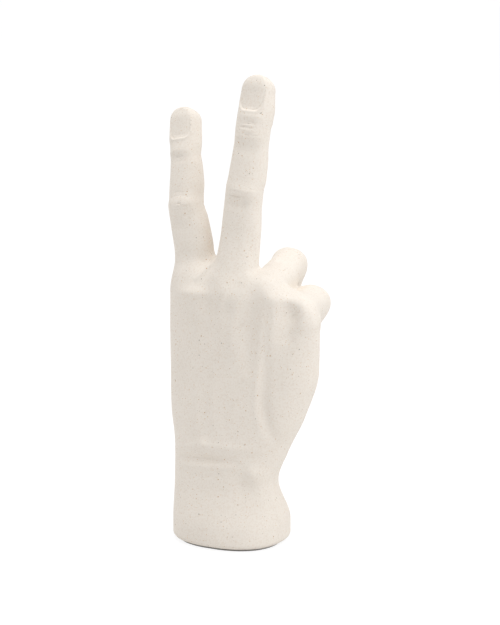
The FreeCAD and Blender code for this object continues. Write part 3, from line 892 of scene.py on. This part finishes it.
def add_piece(name, vertices, normals, faces, material):
    """Piece of the hand, its open sides closed inside the hand."""
    used = sorted({i for face in faces for i in face})
    local = {i: k for k, i in enumerate(used)}
    points = vertices[used].tolist()
    faces = [[local[i] for i in face] for face in faces]
    shading = [normals[used[i]] for face in faces for i in face]
    for loop in boundary_loops(faces):
        centre = np.mean([points[i] for i in loop], axis=0)
        points.append(centre.tolist())
        for a, b in zip(loop, loop[1:] + loop[:1]):
            faces.append([b, a, len(points) - 1])
            corner = np.array((points[b], points[a], centre))
            flat = np.cross(corner[1] - corner[0], corner[2] - corner[0])
            shading += [flat / max(np.linalg.norm(flat), TINY)] * 3
    piece = add_object(name, np.array(points) * MM, faces, material)
    piece.data.normals_split_custom_set([tuple(n) for n in shading])
    return piece


def build_hand(material):
    """The seven glazed pieces, cut from one surface along the seams."""
    vertices, quads = surface_net(*sample_hand())
    vertices, faces = refine(settle(vertices, 2), quads)
    vertices = settle(vertices, 2)
    owner = label(np.array([vertices[face].mean(0) for face in faces]))
    vertices = draw_seams(vertices, faces, owner)
    normals = surface_normals(vertices)
    for number, node in enumerate(NODES):
        own = [face for face, piece in zip(faces, owner) if piece == number]
        piece = add_piece("glazed_" + node, vertices, normals, own, material)
        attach(piece, "root")
        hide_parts(node)


# Felt pad

PAD_STEPS = 120
PAD_RINGS = 8
PAD_FRAY = 0.12
PAD_CORNER = 0.25
PAD_SEED = 7
PAD_HALVINGS = 30


def pad_outline(angle):
    """Reach of the pad's edge from the vent, in each direction."""
    ray = np.stack((np.cos(angle), np.sin(angle)), 1)
    near, far = np.full(len(angle), VENT_RADIUS), np.full(len(angle), 2 * LEVELS[0][1])
    level = np.full(len(angle), BASE_Z)
    for _ in range(PAD_HALVINGS):
        reach = (near + far) / 2
        p = np.column_stack((VENT_OFFSET + ray[:, 0] * reach, ray[:, 1] * reach, level))
        outside = palm_field(p) + EDGE_ROUND + PAD_SETBACK > 0
        near, far = np.where(outside, near, reach), np.where(outside, reach, far)
    return near


def build_pad(material):
    """Felt pad with a hole for the vent, its cut edges slightly frayed and rounded; its grey edge is
    also painted shade under the base.
    """
    chance = np.random.default_rng(PAD_SEED)
    angle = np.arange(PAD_STEPS) * 2 * math.pi / PAD_STEPS
    reach = pad_outline(angle)
    rings = []
    for height in (0.0, PAD_THICK):
        for share in np.linspace(0.0, 1.0, PAD_RINGS):
            fray = chance.normal(0, PAD_FRAY if share == 1.0 else 0.0, PAD_STEPS)
            fray = (np.roll(fray, 1) + fray + np.roll(fray, -1)) / 3
            radius = VENT_RADIUS + (reach + fray - VENT_RADIUS) * share
            rings.append((radius, np.full(PAD_STEPS, height)))
    bottom, top = rings[:PAD_RINGS], rings[PAD_RINGS:][::-1]
    middle = (top[0][0] + PAD_CORNER, np.full(PAD_STEPS, PAD_THICK / 2))
    loop = bottom + [middle] + top
    points, faces = [], []
    for k, (radius, height) in enumerate(loop):
        x, y = VENT_OFFSET + radius * np.cos(angle), radius * np.sin(angle)
        points += (np.column_stack((x, y, height)) * MM).tolist()
        here, there = k * PAD_STEPS, (k + 1) % len(loop) * PAD_STEPS
        for i in range(PAD_STEPS):
            j = (i + 1) % PAD_STEPS
            faces.append([here + i, there + i, there + j, here + j])
    pad = add_object("felt_sheet", points, faces, material)
    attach(pad, "root")
    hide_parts("felt_pad")
    edge = np.array(points[(PAD_RINGS - 1) * PAD_STEPS : PAD_RINGS * PAD_STEPS])[:, :2]
    after = np.roll(edge, -1, 0)
    cut = abs((edge[:, 0] * after[:, 1] - edge[:, 1] * after[:, 0]).sum()) / 2
    cut -= math.pi * (VENT_RADIUS * MM) ** 2


# Materials

# Glaze and felt, each between two tints; the felt's grey is also painted shade, the dark line under the
# base's edge
GLAZE_TINTS = ((0.835, 0.772, 0.695, 1), (0.905, 0.842, 0.766, 1))
DUST_TINT = (0.67, 0.53, 0.40, 1)
# Mid grey felt: real pad colour, darkened to paint the shade line beneath the ceramic's foot
FELT_AND_SHADE_TINTS = ((0.26, 0.24, 0.22, 1), (0.46, 0.44, 0.41, 1))

# Noise: scale of the mottling, the grain and the felt's fibres
CLOUD_SCALE = 55.0
GRAIN_SCALE = 1100.0
FIBRE_SCALE = 1800.0

# Grain that shows as dust, how strongly, and the roughness that it gives
DUST_SPAN = (0.45, 0.75)
DUST_STRENGTH = (0.0, 0.28)
FULL_SPAN = (0.0, 1.0)
ROUGHNESS_SPAN = (0.5, 0.68)

# Specks in the clay: spacing and size in metres, and tint
SPECKS = (
    (0.0029, 0.00036, (0.60, 0.40, 0.22, 1)),
    (0.0033, 0.00034, (0.43, 0.37, 0.31, 1)),
    (0.00145, 0.00026, (0.70, 0.50, 0.31, 1)),
    (0.0011, 0.00021, (0.62, 0.54, 0.46, 1)),
)
SPECK_SHARPNESS = 12


def add_node(tree, kind, links=None, **values):
    """Shader node with its inputs set or linked."""
    node = tree.nodes.new(kind)
    for key, value in values.items():
        node.inputs[key].default_value = value
    for key, source in (links or {}).items():
        tree.links.new(source, node.inputs[key])
    return node


def value_math(tree, operation, first, second):
    """Result of one operation on two values or outputs."""
    node = tree.nodes.new("ShaderNodeMath")
    node.operation = operation
    for socket, value in zip(node.inputs, (first, second)):
        if isinstance(value, (int, float)):
            socket.default_value = value
        else:
            tree.links.new(value, socket)
    return node.outputs[0]


def blend_colours(tree, factor, first, second):
    """Colour between the first, where the factor is zero, and the second."""
    node = tree.nodes.new("ShaderNodeMix")
    node.data_type = "RGBA"
    sockets = (node.inputs[0], node.inputs[6], node.inputs[7])
    for socket, value in zip(sockets, (factor, first, second)):
        if isinstance(value, bpy.types.NodeSocket):
            tree.links.new(value, socket)
        else:
            socket.default_value = value
    return node.outputs[2]


def map_range(tree, value, source, target):
    """Value spread from the source range to the target range."""
    node = add_node(tree, "ShaderNodeMapRange", {"Value": value})
    for name, number in zip(("From Min", "From Max", "To Min", "To Max"), source + target):
        node.inputs[name].default_value = number
    return node.outputs[0]


def specks(tree, coordinates, spacing, size):
    """Round specks of mixed sizes, one at most in each cell."""
    cells = add_node(tree, "ShaderNodeTexVoronoi", {"Vector": coordinates}, Scale=1 / spacing)
    split = add_node(tree, "ShaderNodeSeparateColor", {"Color": cells.outputs["Color"]})
    reach = value_math(tree, "MULTIPLY", split.outputs[0], size / spacing)
    depth = value_math(tree, "SUBTRACT", reach, cells.outputs["Distance"])
    sharp = value_math(tree, "MULTIPLY", depth, SPECK_SHARPNESS * spacing / size / 2)
    return add_node(tree, "ShaderNodeClamp", {"Value": sharp}).outputs[0]


def new_material(name):
    """Material with a surface shader, and the object's own coordinates."""
    material = bpy.data.materials.new(name)
    material.use_nodes = True
    tree = material.node_tree
    coordinates = add_node(tree, "ShaderNodeTexCoord").outputs["Object"]
    return material, tree, tree.nodes["Principled BSDF"], coordinates


def ceramic_material():
    """Matte speckled stoneware, slightly mottled."""
    material, tree, shader, coordinates = new_material("speckled_ceramic")
    cloud = add_node(tree, "ShaderNodeTexNoise", {"Vector": coordinates}, Scale=CLOUD_SCALE, Detail=4.0)
    noise = add_node(tree, "ShaderNodeTexNoise", {"Vector": coordinates}, Scale=GRAIN_SCALE, Detail=3.0)
    grain = noise.outputs[0]
    colour = blend_colours(tree, cloud.outputs[0], *GLAZE_TINTS)
    dusty = map_range(tree, grain, DUST_SPAN, DUST_STRENGTH)
    colour = blend_colours(tree, dusty, colour, DUST_TINT)
    for spacing, size, tint in SPECKS:
        colour = blend_colours(tree, specks(tree, coordinates, spacing, size), colour, tint)
    rough = map_range(tree, grain, FULL_SPAN, ROUGHNESS_SPAN)
    bump = add_node(tree, "ShaderNodeBump", {"Height": grain}, Strength=0.25, Distance=0.0001)
    tree.links.new(colour, shader.inputs["Base Color"])
    tree.links.new(rough, shader.inputs["Roughness"])
    tree.links.new(bump.outputs[0], shader.inputs["Normal"])
    shader.inputs["Specular IOR Level"].default_value = 0.35
    return material


def felt_and_shade_material():
    """Grey wool felt, its grey darkened as painted shade for the line under the base's edge."""
    material, tree, shader, coordinates = new_material("wool_felt_painted_shade")
    links = {"Vector": coordinates}
    noise = add_node(tree, "ShaderNodeTexNoise", links, Scale=FIBRE_SCALE, Detail=6.0, Distortion=2.0)
    fibre = noise.outputs[0]
    colour = blend_colours(tree, fibre, *FELT_AND_SHADE_TINTS)
    bump = add_node(tree, "ShaderNodeBump", {"Height": fibre}, Strength=0.6, Distance=0.0003)
    tree.links.new(colour, shader.inputs["Base Color"])
    tree.links.new(bump.outputs[0], shader.inputs["Normal"])
    shader.inputs["Roughness"].default_value = 0.95
    shader.inputs["Sheen Weight"].default_value = 0.3
    return material


build_hand(ceramic_material())
build_pad(felt_and_shade_material())


# Stage, light and camera, in metres and watts

AZIMUTH = math.radians(26)
ELEVATION = math.radians(12)
DISTANCE = 1.1
TARGET = Vector((0, 0, 0.1195))
PHOTO_WIDTH, PHOTO_HEIGHT = 500, 625
TARGET_PIXEL = (231.5, 311.6)
PIXELS_PER_METRE = 1965.0
SENSOR = 36.0
FLOOR_HALF = 8.0
FLOOR_GREY = (0.8, 0.8, 0.8, 1)
FLOOR_SHADED = (0.2, 0.2, 0.2, 1)
FLOOR_GLOW = 0.87
WHITE = (1, 1, 1, 1)
AMBIENT = 0.67
LIGHT_SIZE = 0.9

# Lamps: name, place and power
LIGHTS = (
    ("side", (1.5, 0.25, 0.75), 3.7),
    ("front", (0.91, -0.33, 1.46), 5.6),
    ("top", (0.0, 0.17, 1.76), 7.3),
    ("fill", (-1.48, -0.16, 0.81), 2.4),
)


def seen_directly(tree):
    """One for rays that show the background itself, from the camera or in a reflection."""
    path = add_node(tree, "ShaderNodeLightPath")
    seen = value_math(tree, "MAXIMUM", path.outputs["Is Camera Ray"], path.outputs["Is Glossy Ray"])
    return value_math(tree, "MAXIMUM", seen, path.outputs["Is Transmission Ray"])


def floor_material():
    """Grey as light sees it, and white with a soft shadow where it is seen."""
    material = bpy.data.materials.new("floor_white")
    material.use_nodes = True
    tree = material.node_tree
    tree.nodes.clear()
    plain = add_node(tree, "ShaderNodeBsdfDiffuse", Color=FLOOR_GREY)
    shaded = add_node(tree, "ShaderNodeBsdfDiffuse", Color=FLOOR_SHADED)
    glow = add_node(tree, "ShaderNodeEmission", Color=WHITE, Strength=FLOOR_GLOW)
    shown = add_node(tree, "ShaderNodeAddShader", {0: shaded.outputs[0], 1: glow.outputs[0]})
    parts = {0: seen_directly(tree), 1: plain.outputs[0], 2: shown.outputs[0]}
    mix = add_node(tree, "ShaderNodeMixShader", parts)
    add_node(tree, "ShaderNodeOutputMaterial", {0: mix.outputs[0]})
    return material


def stage_floor():
    """White floor that keeps the hand's soft shadow."""
    signs = ((-1, -1), (1, -1), (1, 1), (-1, 1))
    corners = [(x * FLOOR_HALF, y * FLOOR_HALF, 0) for x, y in signs]
    add_object("floor", corners, [(0, 1, 2, 3)], floor_material())


def world_light():
    """Even white surroundings: full white where seen, softer as light."""
    world = bpy.data.worlds.new("studio")
    bpy.context.scene.world = world
    world.use_nodes = True
    tree = world.node_tree
    background = tree.nodes["Background"]
    background.inputs["Color"].default_value = WHITE
    extra = value_math(tree, "MULTIPLY", seen_directly(tree), 1 - AMBIENT)
    tree.links.new(value_math(tree, "ADD", extra, AMBIENT), background.inputs["Strength"])


def area_light(name, place, power):
    """Square lamp that faces the hand."""
    data = bpy.data.lights.new(name, "AREA")
    data.energy = power
    data.size = LIGHT_SIZE
    light = bpy.data.objects.new(name, data)
    light.location = place
    light.rotation_euler = (TARGET - Vector(place)).to_track_quat("-Z", "Y").to_euler()
    bpy.context.scene.collection.objects.link(light)


def photo_camera():
    """Camera of the photograph, with the target at its pixel."""
    right = Vector((math.cos(AZIMUTH), math.sin(AZIMUTH), 0))
    level = Vector((-math.sin(AZIMUTH), math.cos(AZIMUTH), 0))
    ahead = level * math.cos(ELEVATION) - Vector((0, 0, math.sin(ELEVATION)))
    up = right.cross(ahead)
    offset_x = (PHOTO_WIDTH / 2 - TARGET_PIXEL[0]) / PIXELS_PER_METRE
    offset_y = (TARGET_PIXEL[1] - PHOTO_HEIGHT / 2) / PIXELS_PER_METRE
    data = bpy.data.cameras.new("camera")
    data.sensor_width = SENSOR
    data.lens = SENSOR * PIXELS_PER_METRE * DISTANCE / PHOTO_HEIGHT
    camera = bpy.data.objects.new("camera", data)
    place = TARGET - ahead * DISTANCE + right * offset_x + up * offset_y
    rotation = Matrix((right, up, -ahead)).transposed().to_4x4()
    camera.matrix_world = Matrix.Translation(place) @ rotation
    bpy.context.scene.collection.objects.link(camera)
    bpy.context.scene.camera = camera


stage_floor()
world_light()
for name, place, power in LIGHTS:
    area_light(name, place, power)
photo_camera()
bpy.context.scene.view_settings.view_transform = "Standard"
